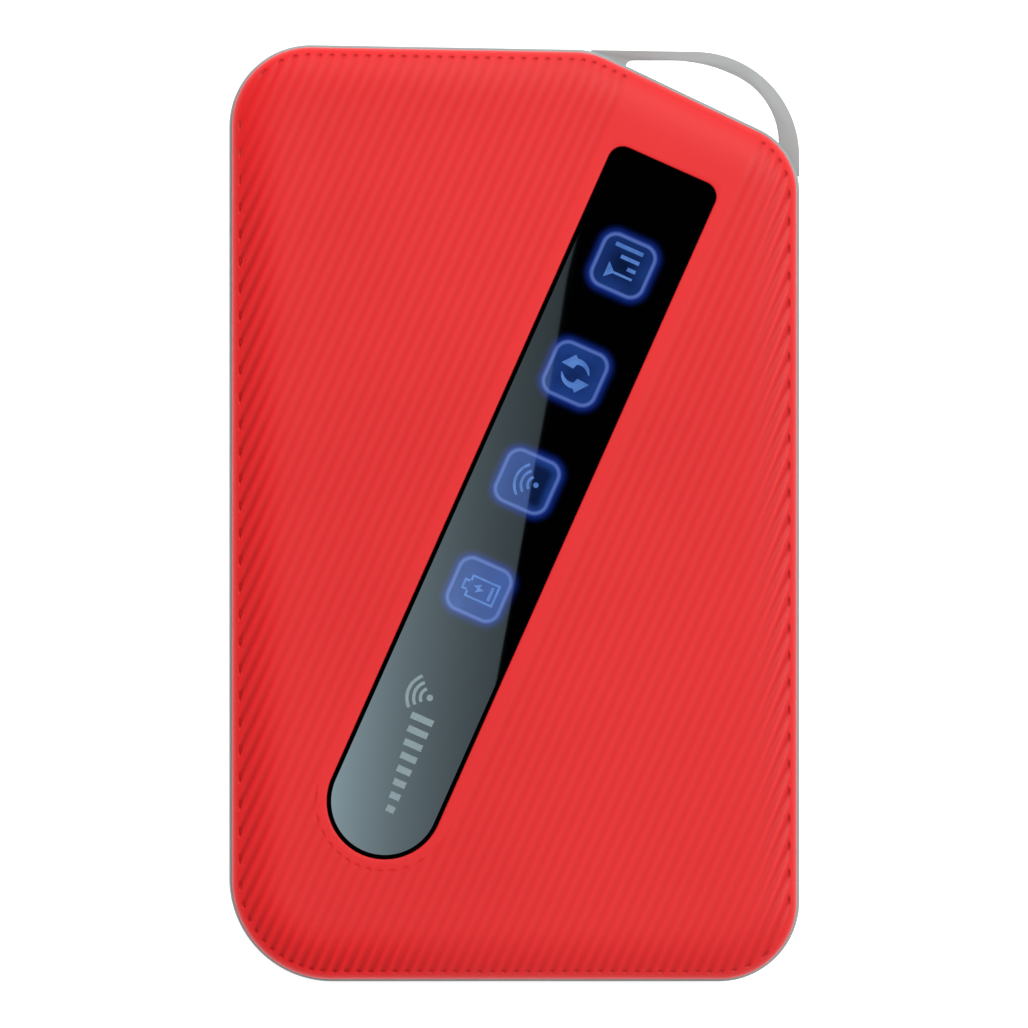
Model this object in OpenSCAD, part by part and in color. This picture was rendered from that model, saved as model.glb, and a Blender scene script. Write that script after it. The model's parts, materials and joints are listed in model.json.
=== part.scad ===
// Pocket mobile hotspot with a ribbed front cover, a slanted light strip and a lanyard loop.
// It lies on its rear cover: +X is its right side, +Y its top end and +Z comes out of its front.
// The origin is the middle of the rear face.

/* [Case] */
// Width of the case across its straight sides
case_w = 63.5; // [63:0.5:65]
// Length of the case from its bottom end to its top end
case_h = 104.3; // [104:0.1:106]
// Thickness of the case from its rear face to its front face
case_t = 14.6; // [14.6:0.1:15.2]
// Radius of the lower left corner
corner_bl = 11.5; // [10:0.5:12]
// Radius of the lower right corner
corner_br = 9; // [8:0.5:9.5]
// Radius of the upper left corner
corner_tl = 9.1; // [8.5:0.1:10]
// Slope of the top end, which falls to the right, in degrees
top_slope = 1; // [0.5:0.5:1.5]
// Slope of the cut-off upper right corner, in degrees
cut_slope = 25.5; // [25:0.5:26]
// Distance of the cut-off edge from the middle of the case
cut_reach = 50.3; // [50.2:0.1:50.6]
// Radius between the top end and the cut-off edge
cut_top_r = 8.5; // [8:0.5:9]
// Radius between the cut-off edge and the right side
cut_side_r = 7.8; // [7.4:0.2:8.2]
// Width of the soft crown round the front cover's edge
crown_w = 6; // [5:0.5:6.5]
// Height of that crown, and the radius round the rear cover's edge
roll_r = 2.2; // [1.8:0.1:2.4]
// Thickness of the covers' side walls
wall = 1.2; // [1.1:0.1:1.3]

/* [Frame] */
// Height at which the rear cover ends and the frame's band begins
band_z = 5.2; // [5.1:0.1:5.3]
// Height of the frame's visible band
band_h = 4; // [4:0.1:4.1]
// Thickness of the frame's band
band_wall = 1.5; // [1.4:0.1:1.5]
// Amount by which the band stands out past the covers
band_proud = 0.4; // [0.3:0.05:0.45]

/* [Lanyard loop] */
// Outer radius of the loop's corner
loop_r = 11.7; // [11.4:0.1:12]
// Thickness of the loop's bar along the top
loop_bar_top = 0.95; // [0.9:0.05:1.1]
// Thickness of the loop's bar down the right side
loop_bar_side = 2.25; // [2:0.05:2.3]
// Radius of the hole's right side, inside the loop's corner
loop_hole_r = 8.3; // [8:0.1:8.4]
// Thickness of the loop from rear to front
loop_t = 2.6; // [2:0.1:3]

/* [Light strip] */
// Width of the glossy strip
strip_w = 12.9; // [12.5:0.1:12.9]
// Length of the strip from the middle of its round end to its square end
strip_l = 77.2; // [76:0.2:78]
// Lean of the strip from the case's long axis, in degrees
strip_lean = 24; // [23.5:0.5:24.5]
// Radius of the corners at the strip's square end
strip_corner = 1.7; // [1.4:0.1:2]
// Thickness of the lens
lens_t = 0.8; // [0.7:0.05:0.85]
// Distance from the strip's square end to the first light
light_first = 12.2; // [12:0.1:12.4]
// Distance between neighbouring lights
light_pitch = 13.1; // [13:0.1:13.2]

/* [Battery] */
// Width of the battery pack
battery_w = 46; // [44:0.5:46]
// Length of the battery pack
battery_l = 60; // [59:0.5:60]
// Thickness of the battery pack
battery_t = 5.6; // [5:0.1:5.6]

/* [Controls and socket] */
// Distance of the power button up from the middle of the left side
power_y = 30; // [29:0.5:31]
// Distance of the pairing button up from the middle of the left side
pairing_y = 16; // [15:0.5:16]
// Length of the power button
power_l = 9; // [8:0.5:9]
// Length of the pairing button
pairing_l = 5.5; // [5:0.5:6]
// Width of the micro USB socket's shell
usb_w = 7.5; // [7.4:0.1:7.6]

/* [Hidden] */
// Straight pieces in each rounded corner of an outline, and the least radius left there
arc_steps = 12;
min_r = 0.1;
// Gap round pieces that slide past others, and how far a cut runs past the face it opens
slack = 0.15;
past = 0.5;
$fn = 48;

// Heights of the stack, from the rear face up
front_z = band_z + band_h;
button_z = band_z + band_h / 2;
floor_t = 1.2;
lip_z = 6.4;
plate_z = 7.4;
plate_top = 8.4;
board_z = 8.9;
board_top = 9.9;
roof_z = case_t - 1.6;
lens_z = case_t - 0.05 - lens_t;
recess_z = lens_z - 0.15;
floor_roll = 1;
roof_roll = 1.1;
crown_power = 2.6;

// Distances in from the case's outline
shell_inset = band_proud + wall;
tongue_inset = shell_inset + 0.1;
tongue_end = 2.4;
plate_inset = 2.6;
lip_inset = 3.2;
board_inset = 3.4;

// Frame's section, as the bottom, top, outer and inner limit of each layer
web_t = 0.8;
tongue_h = 1;
frame_layers = [
    [band_z - tongue_h, band_z, tongue_inset, tongue_end],
    [band_z, band_z + web_t, 0, tongue_end],
    [band_z + web_t, lip_z, 0, band_wall],
    [lip_z, plate_z, 0, lip_inset],
    [plate_z, front_z - web_t, 0, band_wall],
    [front_z - web_t, front_z, 0, tongue_end],
    [front_z, front_z + tongue_h, tongue_inset, tongue_end]];

// Edges of the case, each as the direction it faces and its distance from the middle
top_face = 90 - top_slope;
tl_mid = [corner_tl - case_w / 2, case_h / 2 - corner_tl];
top_reach = corner_tl + tl_mid[0] * cos(top_face) + tl_mid[1] * sin(top_face);
right_edge = [0, case_w / 2];
cut_edge = [90 - cut_slope, cut_reach];
top_edge = [top_face, top_reach];
left_edge = [180, case_w / 2];
bottom_edge = [270, case_h / 2];
case_edges = [right_edge, cut_edge, top_edge, left_edge, bottom_edge];
case_radii = [cut_side_r, cut_top_r, corner_tl, corner_bl, corner_br];

// Loop: the corner that the case would have without its cut, and the hole inside it
loop_edges = [right_edge, top_edge, left_edge, bottom_edge];
loop_radii = [loop_r, corner_tl, corner_bl, corner_br];
hole_left = 12.4;
hole_right = case_w / 2 - loop_bar_side;
hole_mid = 16.4;
hole_top = (top_reach - hole_mid * cos(top_face)) / sin(top_face) - loop_bar_top;

// The hole's corner is two curves that meet on a slanted edge
hole_slant = 64;
hole_ease = 3.65;
hole_top_r = 16.6;
hole_edges = [
    [0, hole_right],
    [hole_slant, hole_right * cos(hole_slant) + hole_top * sin(hole_slant) - hole_ease],
    [90, hole_top],
    [180, -hole_left],
    [270 - cut_slope, 1 - cut_reach]];
hole_radii = [loop_hole_r, hole_top_r, 0.8, 0.3, 0.3];
loop_tip = 1.9;
foot = [1.6, 1, 1.2];
foot_along = -11.2;
foot_turn = 38;

// Strip: its own axis runs up +Y from the middle of its round end
strip_at = [-14.36, -31.94];
strip_edges = [[0, strip_w / 2], [90, strip_l], [180, strip_w / 2], [270, strip_w / 2]];
strip_radii = [strip_corner, strip_corner, strip_w / 2, strip_w / 2];
lights = [for (i = [0 : 3]) strip_l - light_first - i * light_pitch];
window_w = 8.6;
window_end = 4.4;
well_w = 6.8;
led = [1.6, 0.8, 0.6];

// Screws that clamp the chassis, the board and the front cover together
screws = [[-25, 45], [24, 36.5], [-26.2, -5], [26.2, -5], [-24, -44], [25, -45.5]];
screw_r = 0.8;
screw_head = [1.4, 0.9];
screw_seat = 6.8;
screw_tip = 12.2;
roof_boss_r = 2;
chassis_boss_r = 2.2;
chassis_boss_z = 5.6;

// Battery, its bay and its connector
battery_at = [0, -7, 1.5];
battery_edge_r = 1.2;
battery_top = battery_at[1] + battery_l / 2;
bay_gap = 0.4;
bay_wall = 1;
bay_z = 1.6;
connector = [10, 2.5, 4];
connector_y = battery_top + 3.15;
contacts = [for (i = [-1.5 : 1.5]) 2.4 * i];

// SIM card, its socket and the chassis window that it slides in
sim = [25, 15, 0.76];
sim_at = [-21.6, 29.6, 7.95];
sim_wall = 0.5;
sim_hood = [17, 16.2, 1.4];

// Side buttons, their switches and the reset switch
button_h = 2.2;
button_face = -case_w / 2;
flange_x = button_face + band_wall + 0.1;
flange_t = 0.8;
flange_grow = 0.8;
plunger = [1.85, 2.6, 1];
plunger_z = 7.5;
switch_x = -28.3;
switch = [3.4, 6, 1.8];
reset_at = [19.5, 31];
reset_w = 3.2;
reset_r = 0.8;

// Micro USB socket, on the underside of the board at the bottom end
usb_h = 2.6;
usb_d = 5.2;
usb_y = 0.5 - case_h / 2;
usb_z = board_z - usb_h;
usb_sheet = 0.3;
usb_bevel = 0.9;

// Shield cans and chips on the board, each as its middle x, middle y, width and length
can_h = 1.8;
can_t = 0.2;
modem_can = [-14, 25, 22, 26];
rf_can = [16, -8, 16, 24];
wifi_can = [20.5, 12.5, 13, 11];
modem_die = [-14, 28, 12, 12];
rf_die = [16, -6, 9, 9];
wifi_die = [20.5, 12.5, 6, 6];
chip_h = 1.1;
heat_pad = [-14, 25, 16, 18];
coils = [[-20, -16], [-20, -22], [-20, -28]];
coil_w = 4.2;
coil_h = 1.8;

// Antennas, flat strips on the rear face of the chassis plate
antenna_t = 0.15;
antenna_z = plate_z - antenna_t;

// Rear cover's locating tabs and its finger notch
tab = [0.8, 7, 4.7];
tab_x = case_w / 2 - plate_inset - tab[0] / 2;
tab_y = [-26, 6];
notch_x = -14;
notch_r = 6;
notch_depth = 1.3;

// ---- Outlines ----

function heading(a) = [cos(a), sin(a)];

// Point where two edges cross once each has moved in by d
function meet(e, f, d) =
    let (k = sin(f[0] - e[0]))
    [((e[1] - d) * sin(f[0]) - (f[1] - d) * sin(e[0])) / k,
     ((f[1] - d) * cos(e[0]) - (e[1] - d) * cos(f[0])) / k];

// Points round a closed outline, moved in by inset, with an arc at each corner
function outline(edges, radii, inset = 0) =
    [for (i = [0 : len(edges) - 1])
        let (
            e = edges[i],
            f = edges[(i + 1) % len(edges)],
            r = max(radii[i] - inset, min_r),
            turn = (f[0] - e[0] + 360) % 360,
            c = meet(e, f, inset + r))
        for (s = [0 : arc_steps]) c + r * heading(e[0] + turn * s / arc_steps)];

// One level ring of a cover: the case's outline moved in, at height z
function cover_ring(inset, z) =
    [for (p = outline(case_edges, case_radii, inset)) [p[0], p[1], z]];

// Rings that roll round a quarter circle, from a level face at height z to an upright wall
function rolled(inset, z, r, up) =
    [for (a = [90 : -15 : 0]) cover_ring(inset + r * (1 - cos(a)), z + up * r * (sin(a) - 1))];

// Rings that fall from the front face to its upright wall in a soft crown
function crowned(inset, z) =
    [for (a = [90 : -10 : 0])
        let (
            out = pow(cos(a), 2 / crown_power),
            rise = pow(sin(a), 2 / crown_power))
        cover_ring(inset + crown_w * (1 - out), z - roll_r * (1 - rise))];

function backwards(list) = [for (i = [len(list) - 1 : -1 : 0]) list[i]];

// ---- Shared shapes ----

// Closed skin over rings that run from a cap facing up to a cap facing down
module loft(rings) {
    n = len(rings[0]);
    last = (len(rings) - 1) * n;
    caps = [[for (i = [n - 1 : -1 : 0]) i], [for (i = [0 : n - 1]) last + i]];
    sides = [for (j = [0 : len(rings) - 2]) for (i = [0 : n - 1])
        [j * n + i, j * n + (i + 1) % n, (j + 1) * n + (i + 1) % n, (j + 1) * n + i]];
    polyhedron([for (r = rings) each r], concat(caps, sides));
}

// Upright slab with the case's outline, between two heights
module case_slab(inset, z0, z1) {
    translate([0, 0, z0])
        linear_extrude(z1 - z0) polygon(outline(case_edges, case_radii, inset));
}

// Places its children on the strip's own axis, at height z
module on_strip(z) {
    translate([strip_at[0], strip_at[1], z]) rotate([0, 0, -strip_lean]) children();
}

// Slab with the strip's outline
module strip_slab(inset, t) {
    linear_extrude(t) polygon(outline(strip_edges, strip_radii, inset));
}

// Rounded slab over all the lights, grown on every side
module window_slab(grow, t) {
    side = window_w / 2 + grow;
    reach = window_end + grow;
    edges = [[0, side], [90, lights[0] + reach], [180, side], [270, reach - lights[3]]];
    linear_extrude(t) polygon(outline(edges, [1, 1, 1, 1]));
}

// Block given by its low corner and its size
module block(at, size) {
    translate(at) cube(size);
}

// Block centred on x and y, standing on z
module pad(x, y, z, w, l, h) {
    translate([x - w / 2, y - l / 2, z]) cube([w, l, h]);
}

// Bar with half-round ends, long along Y, that runs inwards from x through thickness t
module stadium(x, y, t, l, h) {
    translate([x, y, button_z])
        rotate([0, 90, 0])
            linear_extrude(t)
                union() {
                    square([h, l - h], center = true);
                    for (s = [-1, 1]) translate([0, s * (l - h) / 2]) circle(d = h);
                }
}

// ---- Covers, frame and loop ----

module front_cover() {
    color("#e43a3c")
        difference() {
            union() {
                loft(concat(
                    crowned(band_proud, case_t),
                    [cover_ring(band_proud, front_z), cover_ring(shell_inset, front_z)],
                    backwards(rolled(shell_inset, roof_z, roof_roll, 1))));
                for (p = screws)
                    translate([p[0], p[1], board_top])
                        cylinder(r = roof_boss_r, h = roof_z - board_top + 0.1);
            }
            on_strip(recess_z) strip_slab(0, case_t);
            on_strip(roof_z - past) window_slab(0.1, case_t);
            for (p = screws)
                translate([p[0], p[1], board_top - past])
                    cylinder(r = screw_r, h = screw_tip + 0.2 - board_top + past);
        }
}

module rear_cover() {
    color("#a9adac")
        difference() {
            union() {
                loft(concat(
                    rolled(shell_inset, floor_t, floor_roll, -1),
                    [cover_ring(shell_inset, band_z), cover_ring(band_proud, band_z)],
                    backwards(rolled(band_proud, 0, roll_r, -1))));
                for (y = tab_y)
                    for (s = [-1, 1])
                        pad(s * tab_x, y, floor_t - 0.1, tab[0], tab[1], tab[2]);
            }
            translate([notch_x, -case_h / 2 - past, band_z + notch_r - notch_depth])
                rotate([-90, 0, 0])
                    cylinder(r = notch_r, h = shell_inset + 2 * past, $fn = 64);
        }
}

// The loop's two anchoring feet, which sit in pockets in the frame's band
module loop_feet(grow) {
    w = foot[0] + 2 * grow;
    d = foot[1] + grow;
    h = foot[2] + 2 * grow;
    z = button_z - h / 2;
    rotate([0, 0, -cut_slope])
        translate([foot_along - w / 2, cut_reach - d, z]) cube([w, d + 0.2, h]);
    side_mid = meet(right_edge, cut_edge, cut_side_r);
    translate([side_mid[0], side_mid[1], z])
        rotate([0, 0, foot_turn])
            translate([cut_side_r - d, -w / 2, 0]) cube([d + 0.2, w, h]);
}

// Room in the frame for a side button: its hole through the band and a pocket for its flange
module button_hole(y, l) {
    stadium(button_face - past, y, 2 * band_wall, l + 2 * slack, button_h + 2 * slack);
    block(
        [button_face + band_wall, y - l / 2 - 1.3, button_z - 1.7],
        [lip_inset, l + 2.6, 3.4]);
}

module mid_frame() {
    usb_cut = [usb_w + 2 * slack, 2 * (lip_inset + past), usb_h + slack];
    color("#a8acab")
        difference() {
            for (layer = frame_layers)
                difference() {
                    case_slab(layer[2], layer[0], layer[1]);
                    case_slab(layer[3], layer[0] - past, layer[1] + past);
                }
            button_hole(power_y, power_l);
            button_hole(pairing_y, pairing_l);
            pad(0, -case_h / 2, usb_z - slack, usb_cut[0], usb_cut[1], usb_cut[2]);
            loop_feet(0.05);
        }
}

// The corner that the case lacks, cut short where it would taper to a feather edge
module lost_corner(z) {
    left = meet(cut_edge, top_edge, cut_top_r)[0] + loop_tip;
    low = meet(right_edge, cut_edge, cut_side_r)[1] + loop_tip;
    difference() {
        intersection() {
            translate([0, 0, z]) linear_extrude(loop_t) polygon(outline(loop_edges, loop_radii));
            block([left, low, 0], [case_w, case_w, case_t]);
        }
        case_slab(0, z - past, z + loop_t + past);
    }
}

module lanyard_loop() {
    z = button_z - loop_t / 2;
    color("#a8acab")
        union() {
            difference() {
                lost_corner(z);
                translate([0, 0, z - past])
                    linear_extrude(loop_t + 2 * past) polygon(outline(hole_edges, hole_radii));
            }
            intersection() {
                loop_feet(0);
                case_slab(-0.1, 0, case_t);
            }
        }
}

module inner_chassis() {
    bay = [battery_w + 2 * bay_gap, battery_l + 2 * bay_gap];
    bay_h = plate_z - bay_z;
    slot = [connector[0] + 0.6, connector[1] + 0.6];
    color("#2b2d30")
        difference() {
            union() {
                case_slab(plate_inset, plate_z, plate_top);
                pad(0, battery_at[1], bay_z, bay[0] + 2 * bay_wall, bay[1] + 2 * bay_wall, bay_h + 0.1);
                for (p = screws)
                    translate([p[0], p[1], chassis_boss_z])
                        cylinder(r = chassis_boss_r, h = board_z - chassis_boss_z);
            }
            pad(0, battery_at[1], bay_z - past, bay[0], bay[1], bay_h + past);
            pad(0, battery_top + 1, bay_z - past, slot[0], 2, bay_h + past);
            pad(0, connector_y, plate_z - past, slot[0], slot[1], 2);
            block([sim_at[0] - 0.8, sim_at[1] - 0.9, plate_z - past], [sim[0] + 11.3, sim[1] + 1.8, 2]);
            pad(reset_at[0], reset_at[1], plate_z - past, reset_w + 0.8, reset_w + 0.8, 2);
            for (b = [[power_y, power_l], [pairing_y, pairing_l]])
                block([button_face, b[0] - b[1] / 2 - 1.3, plate_z - past], [7.1, b[1] + 2.6, 2]);
            pad(0, usb_y + usb_d / 2, plate_z - past, usb_w + 0.6, usb_d + 0.8, 2);
            for (p = screws)
                translate([p[0], p[1], chassis_boss_z - past]) {
                    cylinder(r = screw_r + 0.1, h = board_z);
                    cylinder(r = screw_head[0] + 0.1, h = screw_seat - chassis_boss_z + past);
                }
        }
}

module case_screws() {
    color("#c8ccd0")
        for (p = screws)
            translate([p[0], p[1], screw_seat])
                difference() {
                    union() {
                        cylinder(r = screw_r, h = screw_tip - screw_seat);
                        translate([0, 0, -screw_head[1]]) cylinder(r = screw_head[0], h = screw_head[1]);
                    }
                    for (a = [0, 90])
                        rotate([0, 0, a]) pad(0, 0, -screw_head[1] - past, 1.6, 0.4, 0.5 + past);
                }
}

// ---- Light strip ----

module display_lens() {
    color("#0a0b0d") on_strip(lens_z) strip_slab(0.05, lens_t);
}

module lens_adhesive() {
    color("#1c1c1e")
        on_strip(recess_z)
            difference() {
                strip_slab(0.3, lens_z - recess_z);
                translate([0, 0, -past]) window_slab(0.6, 1);
            }
}

module icon_film() {
    color("#6e8fdc") on_strip(recess_z) window_slab(0.3, 0.12);
}

module light_diffuser() {
    color("#e8ecf4") on_strip(roof_z) window_slab(0, 0.5);
}

module light_shroud() {
    color("#f2f2f0")
        on_strip(board_top)
            difference() {
                window_slab(0.4, roof_z - board_top - 0.05);
                for (y = lights) pad(0, y, -past, well_w, well_w, roof_z);
            }
}

module indicator_leds() {
    color("#dfe7ff") on_strip(board_top) for (y = lights) pad(0, y, 0, led[0], led[1], led[2]);
}

// ---- Board and what it carries ----

module main_board() {
    color("#1f5a3a")
        difference() {
            case_slab(board_inset, board_z, board_top);
            for (p = screws)
                translate([p[0], p[1], board_z - past]) cylinder(r = screw_r + 0.2, h = 1 + 2 * past);
        }
}

module chip(place) {
    color("#26282b") pad(place[0], place[1], board_top, place[2], place[3], chip_h);
}

module can(place) {
    color("#c3c6c8")
        difference() {
            pad(place[0], place[1], board_top, place[2], place[3], can_h);
            pad(
                place[0], place[1], board_top - past,
                place[2] - 2 * can_t, place[3] - 2 * can_t, can_h + past - can_t);
        }
}

module modem_chip() {
    chip(modem_die);
}

module modem_shield() {
    can(modem_can);
}

module rf_chip() {
    chip(rf_die);
}

module rf_shield() {
    can(rf_can);
}

module wifi_chip() {
    chip(wifi_die);
}

module wifi_shield() {
    can(wifi_can);
}

module thermal_pad() {
    z = board_top + can_h;
    color("#9fb3c4") pad(heat_pad[0], heat_pad[1], z, heat_pad[2], heat_pad[3], roof_z - z - 0.05);
}

module power_inductors() {
    color("#4a4c50") for (p = coils) pad(p[0], p[1], board_top, coil_w, coil_w, coil_h);
}

// ---- Micro USB socket ----

// Socket's outline across its mouth: flat at the board, bevelled at the far corners
module usb_outline(grow) {
    w = usb_w / 2 + grow;
    polygon([
        [-w, usb_h + grow], [-w, usb_bevel], [usb_bevel - w, -grow],
        [w - usb_bevel, -grow], [w, usb_bevel], [w, usb_h + grow]]);
}

module usb_port() {
    color("#c9ccce")
        translate([0, usb_y + usb_d, usb_z])
            rotate([90, 0, 0])
                difference() {
                    linear_extrude(usb_d) usb_outline(0);
                    translate([0, 0, usb_sheet]) linear_extrude(usb_d) usb_outline(-usb_sheet);
                }
}

module usb_tongue() {
    color("#1a1b1d")
        pad(0, usb_y + usb_d - usb_sheet - 1.9, usb_z + 1.35, 5.2, 3.8, 0.6);
}

// ---- Buttons and switches ----

module side_button(y, l) {
    color("#a8acab")
        union() {
            stadium(button_face, y, flange_x - button_face, l, button_h);
            block(
                [flange_x, y - l / 2 - flange_grow, button_z - button_h / 2 - 0.5],
                [flange_t, l + 2 * flange_grow, button_h + 1]);
        }
}

module side_plunger(y) {
    color("#e8e8e4") block([flange_x + flange_t, y - plunger[1] / 2, plunger_z], plunger);
}

module side_switch(y) {
    g = 0.05;
    color("#b9bcbf")
        difference() {
            block([switch_x, y - switch[1] / 2, board_z - switch[2]], switch);
            block(
                [switch_x - past, y - plunger[1] / 2 - g, plunger_z - g],
                [1.3 + past, plunger[1] + 2 * g, plunger[2] + 2 * g]);
        }
}

module power_button() {
    side_button(power_y, power_l);
}

module power_plunger() {
    side_plunger(power_y);
}

module power_switch() {
    side_switch(power_y);
}

module pairing_button() {
    side_button(pairing_y, pairing_l);
}

module pairing_plunger() {
    side_plunger(pairing_y);
}

module pairing_switch() {
    side_switch(pairing_y);
}

module reset_switch() {
    color("#b9bcbf")
        difference() {
            pad(reset_at[0], reset_at[1], board_z - 1.3, reset_w, reset_w, 1.3);
            translate([reset_at[0], reset_at[1], board_z - 1.3 - past])
                cylinder(r = reset_r + 0.05, h = 0.8 + past);
        }
}

module reset_plunger() {
    color("#c23a2e")
        translate([reset_at[0], reset_at[1], board_z - 1.7]) cylinder(r = reset_r, h = 0.85);
}

// ---- Antennas ----

module main_antenna() {
    color("#c79a5a")
        translate([0, 0, antenna_z])
            linear_extrude(antenna_t)
                union() {
                    translate([-20, -46.6]) square([14, 1.6]);
                    translate([-20, -46.6]) square([1.6, 6]);
                    translate([-20, -42.2]) square([10, 1.6]);
                }
}

module diversity_antenna() {
    color("#c79a5a")
        translate([0, 0, antenna_z])
            linear_extrude(antenna_t)
                union() {
                    translate([-20, 46.6]) square([20, 1.5]);
                    translate([-3, 45.7]) square([3, 1]);
                }
}

module wifi_antenna() {
    color("#c79a5a")
        translate([0, 0, antenna_z])
            linear_extrude(antenna_t)
                union() {
                    translate([25, 8]) square([1.2, 16]);
                    translate([25, 8]) square([3, 1.2]);
                    translate([25, 14]) square([3, 1.2]);
                }
}

// ---- Battery, its connector and the SIM card ----

module battery_pack() {
    half = battery_t / 2;
    edges = [[0, battery_w / 2], [90, half], [180, battery_w / 2], [270, half]];
    radii = [for (i = [0 : 3]) battery_edge_r];
    color("#d5d7d8")
        translate([battery_at[0], battery_top, battery_at[2] + half])
            rotate([90, 0, 0])
                linear_extrude(battery_l) polygon(outline(edges, radii));
}

module battery_pads() {
    color("#d9b45a") for (x = contacts) block([x - 0.7, battery_top, 4], [1.4, 0.1, 2.4]);
}

module battery_label() {
    color("#30343a") pad(battery_at[0], battery_at[1], battery_at[2] - 0.1, battery_w - 6, battery_l - 6, 0.1);
}

module battery_connector() {
    color("#1f2124")
        pad(0, connector_y, board_z - connector[2], connector[0], connector[1], connector[2]);
}

module battery_springs() {
    reach = connector_y - connector[1] / 2;
    tip = battery_top + 0.2;
    color("#d9b45a")
        for (x = contacts) {
            block([x - 0.4, tip, 5.6], [0.8, reach - tip, 0.2]);
            block([x - 0.4, tip, 5], [0.8, 0.2, 0.6]);
        }
}

module sim_socket() {
    at = [sim_at[0] - sim_wall - 0.1, sim_at[1] - sim_wall - 0.1, board_z - sim_hood[2]];
    color("#c3c6c8")
        difference() {
            block(at, sim_hood);
            block(
                [sim_at[0] - 0.1, sim_at[1] - 0.1, sim_at[2] - 0.1],
                [sim[0], sim[1] + 0.2, sim[2] + 0.2]);
        }
}

module sim_card() {
    color("#f0efe9") block(sim_at, sim);
}

front_cover();
display_lens();
lens_adhesive();
icon_film();
light_diffuser();
light_shroud();
indicator_leds();
mid_frame();
lanyard_loop();
inner_chassis();
main_board();
modem_chip();
modem_shield();
rf_chip();
rf_shield();
wifi_chip();
wifi_shield();
thermal_pad();
power_inductors();
usb_port();
usb_tongue();
power_button();
power_plunger();
power_switch();
pairing_button();
pairing_plunger();
pairing_switch();
reset_plunger();
reset_switch();
main_antenna();
diversity_antenna();
wifi_antenna();
battery_connector();
battery_springs();
sim_socket();
sim_card();
battery_pack();
battery_pads();
battery_label();
rear_cover();
case_screws();
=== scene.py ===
"""Looks of a pocket mobile hotspot: ribbed red front, slanted black light strip and a loop at the top right.

Lengths are millimetres until a mesh is made, and the frame's metres after that.
"""
import json
import math

import bmesh
import bpy
import numpy as np
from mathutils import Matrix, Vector
from mathutils.geometry import delaunay_2d_cdt


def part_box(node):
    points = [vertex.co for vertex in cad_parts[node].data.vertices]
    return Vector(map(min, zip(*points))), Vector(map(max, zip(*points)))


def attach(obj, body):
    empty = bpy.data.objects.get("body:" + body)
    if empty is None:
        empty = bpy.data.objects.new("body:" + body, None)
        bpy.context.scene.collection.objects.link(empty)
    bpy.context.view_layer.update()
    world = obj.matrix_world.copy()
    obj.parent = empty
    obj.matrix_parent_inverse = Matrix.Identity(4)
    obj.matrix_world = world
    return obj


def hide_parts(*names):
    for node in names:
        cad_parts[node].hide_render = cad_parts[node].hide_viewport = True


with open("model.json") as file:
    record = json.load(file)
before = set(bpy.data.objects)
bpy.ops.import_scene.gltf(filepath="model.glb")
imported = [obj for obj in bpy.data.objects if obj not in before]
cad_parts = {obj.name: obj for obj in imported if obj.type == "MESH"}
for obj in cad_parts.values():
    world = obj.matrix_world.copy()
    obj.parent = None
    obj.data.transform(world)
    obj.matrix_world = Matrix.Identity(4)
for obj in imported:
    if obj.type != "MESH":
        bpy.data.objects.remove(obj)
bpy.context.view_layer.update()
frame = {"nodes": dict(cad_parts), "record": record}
record = frame["record"]
MM = 0.001


def node_box(name):
    """A CAD node's lowest and highest corner, in millimetres."""
    low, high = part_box(name)
    return np.array(low) / MM, np.array(high) / MM


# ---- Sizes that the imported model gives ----

BAND_LOW, BAND_HIGH = node_box("mid_frame")
CASE_W = BAND_HIGH[0] - BAND_LOW[0]
CASE_H = BAND_HIGH[1] - BAND_LOW[1]
SHELL_LOW, SHELL_HIGH = node_box("front_cover")
PROUD = SHELL_LOW[0] - BAND_LOW[0]
TOP_Z = SHELL_HIGH[2]
LENS_LOW, LENS_HIGH = node_box("display_lens")
FILM_LOW = node_box("icon_film")[0]
LOOP_LOW, LOOP_HIGH = node_box("lanyard_loop")

# ---- The case's outline, as the part's source has it ----

TOP_SLOPE = 1.0
CUT_SLOPE = 25.5
CUT_REACH = 50.3
CORNER_TL = 9.1
TOP_FACE = 90 - TOP_SLOPE


def heading(angle):
    """Unit vector that points at an angle in degrees."""
    return np.array([math.cos(math.radians(angle)), math.sin(math.radians(angle))])


TOP_REACH = CORNER_TL + float(np.dot([CORNER_TL - CASE_W / 2, CASE_H / 2 - CORNER_TL], heading(TOP_FACE)))
RIGHT = (0, CASE_W / 2)
CUT = (90 - CUT_SLOPE, CUT_REACH)
TOP = (TOP_FACE, TOP_REACH)
LEFT = (180, CASE_W / 2)
BOTTOM = (270, CASE_H / 2)
CASE_EDGES = [RIGHT, CUT, TOP, LEFT, BOTTOM]
CASE_RADII = [7.8, 8.5, CORNER_TL, 11.5, 9.0]

# ---- The light strip's own axis: across is s, along is t ----

STRIP_AT = np.array([-14.36, -31.94])
STRIP_LEAN = 24.0
ALONG = heading(90 - STRIP_LEAN)
ACROSS = heading(-STRIP_LEAN)
STRIP_W = 12.9
STRIP_L = 77.2
STRIP_CORNER = 1.7
STRIP_EDGES = [(0, STRIP_W / 2), (90, STRIP_L), (180, STRIP_W / 2), (270, STRIP_W / 2)]
STRIP_RADII = [STRIP_CORNER, STRIP_CORNER, STRIP_W / 2, STRIP_W / 2]
LIGHTS = [65.0, 51.9, 38.8, 25.7]
WINDOW_SIDE = 4.3
WINDOW_END = 4.4

# ---- Shared outline geometry ----


def meet(e, f, inset):
    """Point where two edges cross once each has moved in."""
    k = math.sin(math.radians(f[0] - e[0]))
    a, b = math.radians(e[0]), math.radians(f[0])
    p, q = e[1] - inset, f[1] - inset
    return np.array([p * math.sin(b) - q * math.sin(a), q * math.cos(a) - p * math.cos(b)]) / k


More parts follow.
